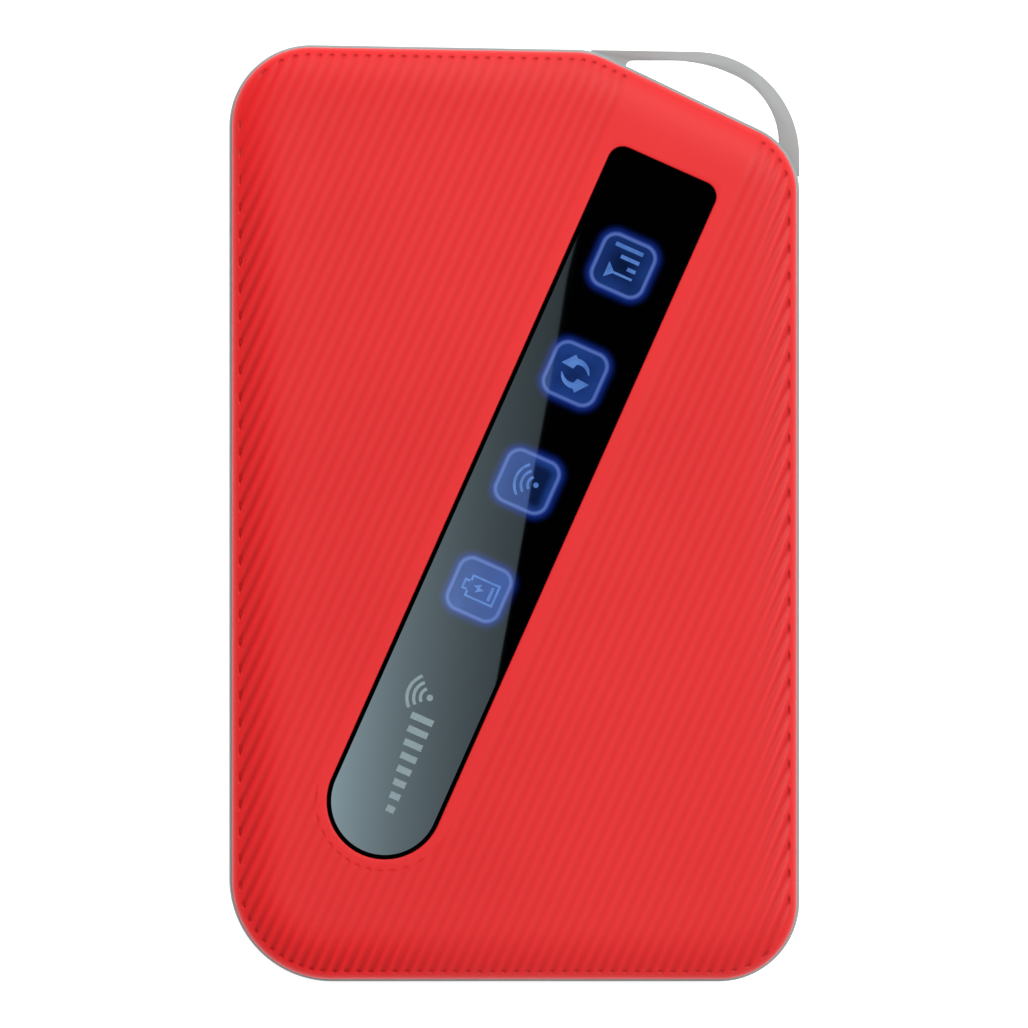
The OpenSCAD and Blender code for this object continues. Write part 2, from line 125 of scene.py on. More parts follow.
def corners(edges, radii, inset=0.0):
    """Centre, radius and swept angles of each rounded corner of a closed outline."""
    made = []
    for i, e in enumerate(edges):
        f = edges[(i + 1) % len(edges)]
        r = max(radii[i] - inset, 0.1)
        made.append((meet(e, f, inset + r), r, e[0], e[0] + (f[0] - e[0]) % 360))
    return made


def arc(centre, radius, a0, a1, steps=20):
    """Points along part of a circle."""
    return [np.array(centre) + radius * heading(a0 + (a1 - a0) * k / steps) for k in range(steps + 1)]


def outline(edges, radii, inset=0.0, steps=24):
    """Points round a closed outline, moved in by inset, with a fine arc at each corner."""
    ring = []
    for c, r, a, b in corners(edges, radii, inset):
        ring += arc(c, r, a, b, steps)
    return np.array(ring)


def depth_inside(points, edges, radii):
    """How far inside a closed outline each point lies."""
    depth = np.full(len(points), 1e9)
    for angle, reach in edges:
        depth = np.minimum(depth, reach - points @ heading(angle))
    for c, r, a, b in corners(edges, radii):
        off = points - c
        turn = (np.degrees(np.arctan2(off[:, 1], off[:, 0])) - a) % 360
        wedge = turn <= (b - a)
        depth = np.where(wedge, np.minimum(depth, r - np.linalg.norm(off, axis=1)), depth)
    return depth


def on_strip(s, t):
    """Case position of a point given across and along the light strip."""
    s, t = np.asarray(s, float), np.asarray(t, float)
    return STRIP_AT + np.multiply.outer(s, ACROSS) + np.multiply.outer(t, ALONG)


def strip_ring(inset):
    """The light strip's outline, moved in, in case positions."""
    ring = outline(STRIP_EDGES, STRIP_RADII, inset)
    return on_strip(ring[:, 0], ring[:, 1])


def window_ring(grow):
    """The rounded outline over all four lights, grown on every side, in case positions."""
    side, reach = WINDOW_SIDE + grow, WINDOW_END + grow
    edges = [(0, side), (90, LIGHTS[0] + reach), (180, side), (270, reach - LIGHTS[3])]
    ring = outline(edges, [1, 1, 1, 1], 0, 6)
    return on_strip(ring[:, 0], ring[:, 1])


# ---- Mesh making ----

SMOOTH_ANGLE = math.radians(32)


def new_mesh(name, points, faces):
    """Mesh from points in millimetres and faces."""
    mesh = bpy.data.meshes.new(name)
    mesh.from_pydata([tuple(float(x) * MM for x in p) for p in points], [], [tuple(f) for f in faces])
    return mesh


def add_piece(name, points, faces):
    """Object from points in millimetres and faces."""
    return finish_piece(name, new_mesh(name, points, faces))


def finish_piece(name, mesh, smooth=SMOOTH_ANGLE, merge=0.0):
    """Object of a mesh: close points merged, faces turned outwards and smoothed up to an angle."""
    work = bmesh.new()
    work.from_mesh(mesh)
    if merge:
        bmesh.ops.remove_doubles(work, verts=work.verts, dist=merge * MM)
    bmesh.ops.recalc_face_normals(work, faces=work.faces)
    work.to_mesh(mesh)
    work.free()
    mesh.shade_smooth()
    mesh.set_sharp_from_angle(angle=smooth)
    piece = bpy.data.objects.new(name, mesh)
    bpy.context.scene.collection.objects.link(piece)
    return piece


def level(ring, z):
    """A flat ring of points at one height."""
    return [(p[0], p[1], z) for p in ring]


def loft(rings, closed=False):
    """Points and faces of a skin over rings of equal length, capped at both ends or closed on itself."""
    n = len(rings[0])
    points = [p for ring in rings for p in ring]
    count = len(rings)
    faces = []
    for j in range(count if closed else count - 1):
        a, b = j * n, ((j + 1) % count) * n
        faces += [(a + i, a + (i + 1) % n, b + (i + 1) % n, b + i) for i in range(n)]
    if not closed:
        faces += [tuple(range(n))[::-1], tuple(range((count - 1) * n, count * n))]
    return points, faces


def prism(ring, z0, z1):
    """Points and faces of an upright solid with a closed outline."""
    return loft([level(ring, z0), level(ring, z1)])


def sweep(ring_of, profile, closed=False):
    """Points and faces of a skin whose outline is ring_of(inset) at each (inset, height) of a profile."""
    return loft([level(ring_of(inset), z) for inset, z in profile], closed)


def case_ring(steps):
    """Function that gives the case's outline, moved in, with so many steps at each corner."""
    return lambda inset: outline(CASE_EDGES, CASE_RADII, inset, steps)


def rolled(inset, z, r, count, first=0.0, way=-1):
    """Section points of an edge that rolls inwards to height z, from below, or from above if way is 1."""
    turns = np.linspace(first, math.pi / 2, count)
    return [(inset + r * (1 - math.cos(a)), z + way * r * (1 - math.sin(a))) for a in turns]


def slab(ring_of, z0, z1, edge, steps=4):
    """Points and faces of a flat slab whose outline comes from ring_of(inset), with both rims rounded."""
    return sweep(ring_of, rolled(0, z0, edge, steps + 1, way=1)[::-1] + rolled(0, z1, edge, steps + 1))


def box_mesh(low, high):
    """Points and faces of a block."""
    p = [(x, y, z) for z in (low[2], high[2]) for y in (low[1], high[1]) for x in (low[0], high[0])]
    return p, [(0, 2, 3, 1), (4, 5, 7, 6), (0, 1, 5, 4), (1, 3, 7, 5), (3, 2, 6, 7), (2, 0, 4, 6)]


def joined(*parts):
    """Several lots of points and faces as one."""
    points, faces = [], []
    for p, f in parts:
        base = len(points)
        points += list(p)
        faces += [tuple(i + base for i in face) for face in f]
    return points, faces


def apply_modifiers(piece):
    """Makes a piece's modifiers part of its mesh."""
    shown = bpy.context.evaluated_depsgraph_get()
    mesh = bpy.data.meshes.new_from_object(piece.evaluated_get(shown))
    piece.modifiers.clear()
    piece.data = mesh
    mesh.shade_smooth()
    mesh.set_sharp_from_angle(angle=SMOOTH_ANGLE)


def carve(piece, tools, keep="DIFFERENCE"):
    """Cuts each tool's shape, given as points and faces, from the piece, or keeps only what is inside it."""
    for points, faces in tools:
        tool = add_piece("tool", points, faces)
        cut = piece.modifiers.new("cut", "BOOLEAN")
        cut.operation = keep
        cut.solver = "EXACT"
        cut.object = tool
        bpy.context.view_layer.update()
        apply_modifiers(piece)
        bpy.data.objects.remove(tool)


def bevel(piece, width, segments=3, angle=40, applied=True):
    """Rounds a piece's sharp edges by a width in millimetres."""
    edge = piece.modifiers.new("edge", "BEVEL")
    edge.width = width * MM
    edge.segments = segments
    edge.limit_method = "ANGLE"
    edge.angle_limit = math.radians(angle)
    edge.harden_normals = not applied
    if applied:
        bpy.context.view_layer.update()
        apply_modifiers(piece)


def place(piece, body, finish, stands_for=()):
    """Gives a piece its finish, the body it rides on and the CAD nodes it stands for."""
    finishes = finish if isinstance(finish, (list, tuple)) else [finish]
    piece.data.materials.clear()
    for each in finishes:
        piece.data.materials.append(each)
    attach(piece, body)
    if stands_for:
        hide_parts(*stands_for)


# ---- Heights and places that other pieces share ----

TONGUE_H = 1.0
SHELL_LOW_Z = BAND_HIGH[2] - TONGUE_H
REAR_HIGH_Z = BAND_LOW[2] + TONGUE_H
COVER_WALL = 1.2
HOLLOW = PROUD + COVER_WALL
BAND_Z = (SHELL_LOW_Z + REAR_HIGH_Z) / 2
PLATE_Z = node_box("main_antenna")[1][2]
BOARD_TOP = node_box("main_board")[1][2]
USB_LOW, USB_HIGH = node_box("usb_port")
SCREWS = [(-25, 45), (24, 36.5), (-26.2, -5), (26.2, -5), (-24, -44), (25, -45.5)]
TALL = 20
LOOP_R = 11.7
LOOP_BAR_TOP = 0.95
LOOP_BAR_SIDE = 2.25
HOLE_LEFT = 12.4
HOLE_MID = 16.4
HOLE_SLANT = 64
HOLE_EASE = 3.65
HOLE_RADII = [8.3, 16.6, 0.8, 0.3, 0.3]
BUTTONS = {"power_button": (30, 9), "pairing_button": (16, 5.5)}
KEY_W = 2.2
KEY_GAP = 0.3
RIM_W = 0.5
LENS_Z = LENS_HIGH[2]
SIGN_LOW = LENS_Z - 0.03
SIGN_HIGH = LENS_Z + 0.02

# ---- Colours, as linear red, green and blue ----

RED_LOW = (0.625, 0.0140, 0.0162)
RED_HIGH = (0.662, 0.0164, 0.0182)
# Painted shade in the grooves; the fine grain also darkens toward a tone of it
RED_PAINTED_SHADE_AND_GRAIN = (0.450, 0.0050, 0.0065)
# Painted shade along the left side: a deeper red without the sheen's haze
RED_LEFT_PAINTED_SHADE = (0.670, 0.0085, 0.0105)
# Painted shade in the pressed marks at the grooves' ends
RED_MARK_PAINTED_SHADE = (0.385, 0.0040, 0.0055)
GROOVE_PAINTED_SHADE = 0.275
MARK_PAINTED_SHADE = 0.8
LENS_BLACK = (0.0001, 0.0001, 0.0002)
TILE_LOW = (0.013, 0.044, 0.230)
TILE_HIGH = (0.018, 0.064, 0.310)
TILE_RIM = (0.085, 0.150, 0.460)
HALO = (0.007, 0.026, 0.220)
SIGN_BLUE = (0.088, 0.205, 0.570)
SIGN_SHADE = (0.060, 0.150, 0.450)
GREY_PRINT = (0.15, 0.195, 0.205)
FRAME_GREY = (0.282, 0.312, 0.309)
GOLD = (0.85, 0.62, 0.28)

# ---- Lit tiles: width, corner radius, bright edge and the reach of the halo ----

TILE = 6.65
TILE_CORNER = 1.75
TILE_EDGE = 0.34
HALO_REACH = 1.25
TILE_FALL = 0.14
TILE_SHADE = 0.75

# ---- Stage ----

FLOOR_WHITE = 0.82
FLOOR_GLOW = 0.6
WORLD = 0.645
LAMPS = [
    ("rake_light", (0.0, 0.62, 0.36), (0.70, 0.20), 1.0),
    ("side_light", (0.52, 0.22, 1.0), (0.5, 0.5), 4.9),
    ("end_light", (0.0, 0.66, 1.0), (0.7, 0.5), 3.7),
]
CAMERA_AT = (-0.00004, -0.00009, 1.2809)
CAMERA_Z = CAMERA_AT[2] / MM
CARD_Z = 1.44 / MM
CARD_FADE = (-0.0953, 0.0072)
CARD_LEVEL = 0.164
CARD_COLOUR = (6.1, 8.2, 9.1)
CARD_RING = [
    (-36, -46), (-6.2, -46), (-2.2, -19.7), (0.1, -7.3), (2.3, 5.5), (3.9, 14.0), (5.9, 26.5), (8.3, 36.0),
    (-36, 40)]
DARK_CARD_Z = 1.50
DARK_CARD_HALF = (0.06, 0.11)
FLAG_HALF = (0.5, 1.5)
FLAG_AT = (-0.72, 0, 0.85)
FLAG_LEAN = math.radians(-50)
FLOOR_HALF = (18, 18)
FLOOR_DROP = 0.00015

# ---- Shader maths ----


class Value:
    """A shader socket that Python arithmetic can use."""

    def __init__(self, finish, socket):
        self.finish = finish
        self.socket = socket

    def maths(self, operation, *others, clamp=False):
        """Math node with this value first."""
        sockets = dict(enumerate((self, *others)))
        return self.finish.value("ShaderNodeMath", {"operation": operation, "use_clamp": clamp}, sockets)

    def __add__(self, other):
        return self.maths("ADD", other)

    __radd__ = __add__

    def __sub__(self, other):
        return self.maths("SUBTRACT", other)

    def __rsub__(self, other):
        return (self * -1) + other

    def __mul__(self, other):
        return self.maths("MULTIPLY", other)

    __rmul__ = __mul__

    def __truediv__(self, other):
        return self.maths("DIVIDE", other)

    def __pow__(self, other):
        return self.maths("POWER", other)

    def __abs__(self):
        return self.maths("ABSOLUTE")

    def least(self, other):
        return self.maths("MINIMUM", other)

    def most(self, other):
        return self.maths("MAXIMUM", other)

    def step(self, low, high, a=0.0, b=1.0):
        """Smooth change from a to b as the value goes from low to high."""
        sockets = {0: self, 1: low, 2: high, 3: a, 4: b}
        return self.finish.value("ShaderNodeMapRange", {"interpolation_type": "SMOOTHSTEP"}, sockets)


class Finish:
    """A node-built material for one finish of the hotspot."""

    def __init__(self, name):
        self.material = bpy.data.materials.new(name)
        self.material.use_nodes = True
        self.tree = self.material.node_tree
        self.tree.nodes.clear()
        self.shader = self.add("ShaderNodeBsdfPrincipled")
        self.add("ShaderNodeOutputMaterial", {}, {"Surface": self.shader.outputs[0]})
        self.spot = self.add("ShaderNodeTexCoord").outputs["Object"]

    def add(self, kind, settings=None, sockets=None):
        """Any node: its type, then its settings, then the values or links of its sockets."""
        node = self.tree.nodes.new(kind)
        for name, value in (settings or {}).items():
            setattr(node, name, value)
        for name, value in (sockets or {}).items():
            self.feed(node.inputs[name], value)
        return node

    def feed(self, socket, value):
        """Sets a socket to a number or colour, or links it."""
        if isinstance(value, Value):
            value = value.socket
        if isinstance(value, bpy.types.NodeSocket):
            self.tree.links.new(value, socket)
        elif isinstance(value, (tuple, list)) and len(value) == 3 and socket.type == "RGBA":
            socket.default_value = (*value, 1)
        else:
            socket.default_value = value

    def value(self, kind, settings=None, sockets=None, output=0):
        """Any node, as a value to reckon with."""
        return Value(self, self.add(kind, settings, sockets).outputs[output])

    def axes(self):
        """The piece's own x, y and z, in millimetres."""
        sockets = {"Vector": self.spot, "Scale": 1 / MM}
        scaled = self.add("ShaderNodeVectorMath", {"operation": "SCALE"}, sockets)
        parts = self.add("ShaderNodeSeparateXYZ", {}, {0: scaled.outputs[0]})
        return [Value(self, out) for out in parts.outputs]

    def noise(self, per_mm, detail=3.0, roughness=0.5, stretch=(1, 1, 1)):
        """Smooth noise with a number of features to each millimetre."""
        scale = tuple(per_mm * each / MM for each in stretch)
        spot = self.add("ShaderNodeMapping", {}, {"Vector": self.spot, "Scale": scale})
        sockets = {"Vector": spot.outputs[0], "Scale": 1.0, "Detail": detail, "Roughness": roughness}
        return self.value("ShaderNodeTexNoise", {}, sockets)

    def mix(self, factor, a, b, blend="MIX"):
        """Colour a turning into colour b."""
        settings = {"data_type": "RGBA", "blend_type": blend, "clamp_factor": True}
        return self.add("ShaderNodeMix", settings, {0: factor, 6: a, 7: b}).outputs[2]

    def attribute(self, name):
        """A number kept on the piece's own points."""
        return self.value("ShaderNodeAttribute", {"attribute_name": name}, output=2)

    def edges(self, low=0.515, high=0.57):
        """How much of a worn outer edge this is."""
        return self.value("ShaderNodeNewGeometry", output="Pointiness").step(low, high)

    def bump(self, height, rise_mm):
        """Relief of the given height in millimetres, as a normal."""
        sockets = {"Strength": 1.0, "Distance": rise_mm * MM, "Height": height}
        return self.add("ShaderNodeBump", {}, sockets).outputs[0]

    def set(self, **sockets):
        """Sets or links the shader's own sockets."""
        for name, value in sockets.items():
            self.feed(self.shader.inputs[name.replace("_", " ")], value)
        return self.material


def darker(colour, k):
    """A colour multiplied by a number."""
    return tuple(min(1.0, each * k) for each in colour)


def toward(colour, other, k):
    """A colour moved part of the way to another."""
    return tuple(a + (b - a) * k for a, b in zip(colour, other))


def moulding(name, colour, rough=0.45, specular=0.4, grain=6.0, rise=0.006, wear=0.25, coat=0.0):
    """Moulded plastic: a fine spark-eroded grain, faint flow marks, and edges rubbed a little lighter."""
    f = Finish(name)
    flow = f.noise(0.06, 3, 0.6)
    fine = f.noise(grain, 2, 0.6)
    body = f.mix(flow.step(0.3, 0.7), darker(colour, 0.94), darker(colour, 1.05))
    body = f.mix(fine.step(0.35, 0.75) * 0.25, body, darker(colour, 0.86))
    body = f.mix(f.edges() * wear, body, toward(colour, (1, 1, 1), 0.35))
    return f.set(
        Base_Color=body,
        Roughness=flow * 0.08 + fine * 0.08 + (rough - 0.08),
        Specular_IOR_Level=specular,
        Coat_Weight=coat,
        Normal=f.bump(fine, rise),
    )


def metal(name, colour, rough=0.3, brush=(1, 1, 1), scratches=4.0, rise=0.003):
    """Bare or plated metal with fine working marks and dull patches."""
    f = Finish(name)
    marks = f.noise(scratches, 4, 0.7, brush)
    dull = f.noise(0.25, 3, 0.6)
    body = f.mix(dull.step(0.35, 0.75), colour, darker(colour, 0.82))
    body = f.mix(f.edges() * 0.3, body, toward(colour, (1, 1, 1), 0.5))
    return f.set(
        Base_Color=body,
        Metallic=1.0,
        Roughness=marks * 0.16 + dull * 0.1 + (rough - 0.1),
        Normal=f.bump(marks, rise),
    )


def red_shell():
    """Satin red moulding with painted shade: deeper red in the grooves, in the marks at their ends and at the
    left side.
    """
    f = Finish("red_shell")
    flow = f.noise(0.035, 2, 0.5)
    fine = f.noise(7.0, 2, 0.6)
    body = f.mix(flow.step(0.3, 0.7), RED_LOW, RED_HIGH)
    # painted shade: a deeper red along the left side, standing in for its missing sheen
    body = f.mix(f.attribute("side"), body, RED_LEFT_PAINTED_SHADE)
    # painted shade in the grooves, darker near the edges and most at the left
    body = f.mix(f.attribute("groove") * GROOVE_PAINTED_SHADE, body, RED_PAINTED_SHADE_AND_GRAIN)
    # painted shade in the pressed marks at the grooves' ends
    body = f.mix(f.attribute("mark") * MARK_PAINTED_SHADE, body, RED_MARK_PAINTED_SHADE)
    body = f.mix(fine.step(0.4, 0.8) * 0.10, body, darker(RED_PAINTED_SHADE_AND_GRAIN, 0.9))
    return f.set(
        Base_Color=body,
        Roughness=fine * 0.08 + flow * 0.05 + 0.36,
        Specular_IOR_Level=0.25,
        Normal=f.bump(fine, 0.003),
    )


def lens_glass():
    """Polished black acrylic whose four lit tiles glow blue, each with a bright edge and a soft halo.

    The glow weakens from tile to tile towards the top end, and the radio tile's right part is shaded.
    """
    f = Finish("lens_glass")
    x, y, _z = f.axes()
    x, y = x - float(STRIP_AT[0]), y - float(STRIP_AT[1])
    s = x * float(ACROSS[0]) + y * float(ACROSS[1])
    t = x * float(ALONG[0]) + y * float(ALONG[1])
    pitch = LIGHTS[0] - LIGHTS[1]
    count = ((t - LIGHTS[3]) / pitch).maths("ROUND").most(0).least(3)
    off = t - LIGHTS[3] - count * pitch
    reach = TILE / 2 - TILE_CORNER
    a, b = abs(s) - reach, abs(off) - reach
    far = ((a.most(0) ** 2) + (b.most(0) ** 2)) ** 0.5
    away = far + a.most(b).least(0) - TILE_CORNER
    inside = away.step(-TILE_EDGE - 0.25, -TILE_EDGE + 0.15, 1, 0)
    edge = away.step(-TILE_EDGE - 0.28, -TILE_EDGE) * away.step(-TILE_EDGE, 0.06, 1, 0)
    halo = away.step(-0.3, HALO_REACH, 1, 0) ** 2.4
    glow = 1 - count * TILE_FALL - away.step(-3.2, -0.5, count * TILE_FALL, 0)
    shaded = (1 - abs(count - 1)).most(0) * (s + off * 0.25).step(0.35, 0.65) * away.step(-1.6, -0.4, 1, 0)
    glow = glow * (1 - shaded * TILE_SHADE)
    sky = f.noise(0.3, 2, 0.5)
    fill = f.mix(sky.step(0.25, 0.75), TILE_LOW, TILE_HIGH)
    lit = f.mix(halo, (0, 0, 0), HALO)
    lit = f.mix(inside, lit, f.mix(glow, (0, 0, 0), fill))
    lit = f.mix(edge, lit, TILE_RIM)
    smear = f.noise(0.05, 2, 0.5)
    return f.set(
        Base_Color=f.mix(smear, LENS_BLACK, darker(LENS_BLACK, 3)),
        Roughness=smear * 0.008 + 0.004,
        Specular_IOR_Level=0.5,
        Emission_Color=lit,
        Emission_Strength=1.0,
    )


def lit_print(name, colour, shade):
    """A printed sign lit from behind, under the same gloss as the lens round it."""
    f = Finish(name)
    fall = f.noise(0.8, 2, 0.5)
    return f.set(
        Base_Color=f.mix(fall, darker(colour, 0.02), darker(colour, 0.04)),
        Roughness=fall * 0.03 + 0.03,
        Specular_IOR_Level=0.5,
        Emission_Color=f.mix(fall.step(0.3, 0.7), shade, colour),
        Emission_Strength=1.0,
    )


def board_mask():
    """Green solder mask over copper tracks, with pale pads."""
    f = Finish("circuit_board")
    x, y, _z = f.axes()
    lane = (x * 1.1 + (y * 0.25).maths("ROUND") * 0.4).maths("FRACT")
    track = abs(lane - 0.5).step(0.12, 0.2, 1, 0)
    patch = f.noise(0.12, 2, 0.5).step(0.45, 0.55)
    cell = f.value(
        "ShaderNodeTexVoronoi", {"feature": "F1"}, {"Vector": f.spot, "Scale": 900.0, "Randomness": 0.6})
    pad = cell.step(0.16, 0.2, 1, 0)
    body = f.mix(track * patch, (0.010, 0.085, 0.040), (0.018, 0.15, 0.065))
    body = f.mix(pad * (1 - patch), body, (0.72, 0.6, 0.34))
    return f.set(
        Base_Color=body,
        Roughness=f.noise(3.0) * 0.1 + 0.28,
        Coat_Weight=0.3,
        Normal=f.bump(track * patch + pad, 0.02),
    )


def battery_wrap():
    """Printed foil label in two greys with fine weave, and a pale band near its end."""
    f = Finish("battery_label")
    _x, y, _z = f.axes()
    weave = f.noise(9.0, 1, 0.4, (1, 3, 1))
    band = y.step(11.8, 11.9) * y.step(14.2, 14.3, 1, 0)
    line = y.step(-31.6, -31.5) * y.step(-31.1, -31.0, 1, 0)
    body = f.mix(weave.step(0.3, 0.7), (0.028, 0.032, 0.038), (0.040, 0.045, 0.052))
    body = f.mix(band.most(line), body, (0.42, 0.44, 0.45))
    return f.set(
        Base_Color=body,
        Roughness=weave * 0.12 + 0.38,
        Specular_IOR_Level=0.4,
        Normal=f.bump(weave, 0.004),
    )


def soft_foam(name, colour):
    """Foam or gel pad with open pores."""
    f = Finish(name)
    pores = f.value("ShaderNodeTexVoronoi", {"feature": "F1"}, {"Vector": f.spot, "Scale": 2600.0})
    body = f.mix(pores.step(0.1, 0.5), darker(colour, 0.7), colour)
    return f.set(Base_Color=body, Roughness=pores * 0.1 + 0.75, Normal=f.bump(pores, 0.05))


def moulded_chip(name):
    """Black chip resin with laser-rough grain and a low sheen."""
    f = Finish(name)
    grain = f.noise(14.0, 2, 0.6)
    body = f.mix(grain.step(0.3, 0.8), (0.012, 0.012, 0.013), (0.028, 0.028, 0.030))
    return f.set(Base_Color=body, Roughness=grain * 0.15 + 0.45, Normal=f.bump(grain, 0.01))


# ---- Front cover ----

CROWN_W = 6.0
CROWN_H = 2.2
CROWN_POWER = 2.6
RECESS_EDGE = 0.14
SPACING = 0.36

# Grooves: pitch, place and depth, how far from the edge they stop, and the smooth band round the strip
RIB_PITCH = 1.225
RIB_AT = -8.45
RIB_DEPTH = 0.09
RIB_STOP = 1.27
STOP_BAND = (RIB_STOP - 0.12, RIB_STOP + 0.12)
SMOOTH_SIDE = (-7.84, 8.09)
SMOOTH_END = 7.65
END_BAND = (SMOOTH_END - 0.1, SMOOTH_END + 0.12)
SLICES = 8
REACH = 56
ROW_STEP = 1.1

# Marks pressed at the grooves' ends: depth, half width and half length
MARK_DEPTH = 0.12
MARK_W = 0.19
MARK_L = 0.30
FAINT_MARK = 0.2

# The grooves get deeper towards the edge, except at the top end, and most of all at the left; their painted
# shade darkens the same way, and the left side has painted shade of its own
RIM_BAND = (1.6, 6.5)
TOP_BAND = (30, 45)
SIDE_BAND = (2.5, 7.5)
SIDE_START = (5, 20)
SIDE_DEEPER = 1.4
RIM_PAINTED_SHADE = 1.1
SIDE_PAINTED_SHADE = 1.6


def even_ring(edges, radii, inset, spacing, steps=24):
    """An outline whose points are evenly spread. Its point count doesn't change with the inset."""
    ring = []
    found = corners(edges, radii, inset)
    base = corners(edges, radii, 0)
    for i, (c, r, a, b) in enumerate(found):
        ring += arc(c, r, a, b, max(steps, int(base[i][1] * math.radians(b - a) / spacing)))
        d, q, u, _v = found[(i + 1) % len(found)]
        d0, q0, u0, _v0 = base[(i + 1) % len(found)]
        run = np.linalg.norm(d0 + q0 * heading(u0) - base[i][0] - base[i][1] * heading(base[i][3]))
        n = max(1, int(math.ceil(run / spacing)))
        p, q1 = ring[-1], d + q * heading(u)
        ring += [p + (q1 - p) * k / n for k in range(1, n)]
    return np.array(ring)


def cover_ring(inset, spacing=SPACING):
    """The case's outline, moved in, with evenly spread points."""
    return even_ring(CASE_EDGES, CASE_RADII, inset, spacing)


def recess_ring(inset):
    """The light strip's outline, moved in, with evenly spread points, in case positions."""
    ring = even_ring(STRIP_EDGES, STRIP_RADII, inset, SPACING)
    return on_strip(ring[:, 0], ring[:, 1])


def soft_step(x, low, high):
    """0 below low, 1 above high and smooth between."""
    k = np.clip((x - low) / (high - low), 0, 1)
    return k * k * (3 - 2 * k)


def strip_coordinates(points):
    """How far across and along the light strip's axis each point lies."""
    off = points - STRIP_AT
    return off @ ACROSS, off @ ALONG


def groove_lines():
    """Every groove's place across the strip's axis, over the whole cover."""
    s, _t = strip_coordinates(outline(CASE_EDGES, CASE_RADII, RIB_STOP))
    first = math.ceil((s.min() - RIB_AT) / RIB_PITCH)
    last = math.floor((s.max() - RIB_AT) / RIB_PITCH)
    return [RIB_AT + k * RIB_PITCH for k in range(first, last + 1)]


def groove_ends():
    """Middle and direction along the edge of the pressed mark at each groove's end."""
    rim = outline(CASE_EDGES, CASE_RADII, RIB_STOP, 60)
    s, t = strip_coordinates(rim)
    marks = []
    for line in groove_lines():
        side = s - line
        for i in np.flatnonzero(side * np.roll(side, -1) < 0):
            j = (i + 1) % len(rim)
            k = side[i] / (side[i] - side[j])
            at = rim[i] + (rim[j] - rim[i]) * k
            way = (rim[j] - rim[i]) / np.linalg.norm(rim[j] - rim[i])
            on_band = SMOOTH_SIDE[0] < line < SMOOTH_SIDE[1] and t[i] > 0
            if not on_band:
                marks.append((at, way, 1.0))
        if abs(line) < SMOOTH_END - 0.3:
            drop = math.sqrt(SMOOTH_END ** 2 - line ** 2)
            at = on_strip(line, -drop)
            out = (at - STRIP_AT) / SMOOTH_END
            marks.append((at, np.array([-out[1], out[0]]), FAINT_MARK))
    return marks


def mark_size(way):
    """Half the length of a mark: a groove that meets the edge at a slant leaves a longer one."""
    slant = abs(way[0] * ALONG[1] - way[1] * ALONG[0])
    return MARK_L / max(slant, 0.42)


def in_mark(points, at, way):
    """Each point's place along and across a mark, where 1 is the mark's rim."""
    off = points - at
    return (off @ way) / mark_size(way), (off @ np.array([-way[1], way[0]])) / MARK_W


def front_relief(points, marks):
    """Height of the front surface, and how much painted shade each point gets in a groove, in a mark and at
    the left side.
    """
    inside = depth_inside(points, CASE_EDGES, CASE_RADII)
    x = np.clip((CROWN_W - (inside - PROUD)) / CROWN_W, 0, 1)
    drop = CROWN_H * (1 - (1 - x ** CROWN_POWER) ** (1 / CROWN_POWER))
    s, t = strip_coordinates(points)
    groove = 0.5 + 0.5 * np.cos(2 * math.pi * (s - RIB_AT) / RIB_PITCH)
    groove *= soft_step(inside, *STOP_BAND)
    in_band = (t > 0) & (s > SMOOTH_SIDE[0]) & (s < SMOOTH_SIDE[1])
    groove *= np.where(in_band, 0, 1)
    groove *= soft_step(np.hypot(s, t), *END_BAND)
    rim = (1 - soft_step(inside, *RIM_BAND)) * (1 - soft_step(points[:, 1], *TOP_BAND))
    # Band along the left edge: its grooves cut deeper, and it carries the left side's painted shade
    side = (1 - soft_step(inside, *SIDE_BAND)) * soft_step(-points[:, 0], *SIDE_START)
    ribs = RIB_DEPTH * groove * (1 + rim * (1 + SIDE_DEEPER * side))
    # From here groove is the amount of painted shade in the grooves, darker near the edges except at the top
    # end
    groove *= 1 + RIM_PAINTED_SHADE * rim + SIDE_PAINTED_SHADE * rim * side
    # mark is each point's pressed depth, and also the amount of painted shade in the marks
    mark = np.zeros(len(points))
    for at, way, strength in marks:
        near = np.flatnonzero(np.abs(points - at).max(axis=1) < 1.6)
        pressed = 1 - soft_step(np.hypot(*in_mark(points[near], at, way)), 0.45, 1.0)
        mark[near] = np.maximum(mark[near], strength * pressed)
    height = TOP_Z - drop - ribs - MARK_DEPTH * mark
    return height, {"groove": groove, "mark": mark, "side": side}


def fitted(outer, inner, extra=()):
    """Flat triangles that fill the space between a closed loop and the loop inside it."""
    loops = [outer, inner]
    points, edges = [], []
    for loop in loops:
        base = len(points)
        points += [Vector((float(p[0]), float(p[1]))) for p in loop]
        edges += [(base + i, base + (i + 1) % len(loop)) for i in range(len(loop))]
    points += [Vector((float(p[0]), float(p[1]))) for p in extra]
    made, _edges, faces, _a, _b, _c = delaunay_2d_cdt(points, edges, [], 0, 1e-7, True)
    flat = np.array([(p.x, p.y) for p in made])
    faces = np.array(faces)
    middle = flat[faces].mean(axis=1)
    keep = inside_loop(middle, outer) & ~inside_loop(middle, inner)
    return flat, faces[keep]


def inside_loop(points, loop):
    """Which points lie inside a convex closed loop that runs anticlockwise."""
    inside = np.ones(len(points), bool)
    turned = np.roll(loop, -1, axis=0) - loop
    for p, w in zip(loop, turned):
        if np.hypot(*w) > 1e-9:
            inside &= (w[0] * (points[:, 1] - p[1]) - w[1] * (points[:, 0] - p[0])) > 0
    return inside


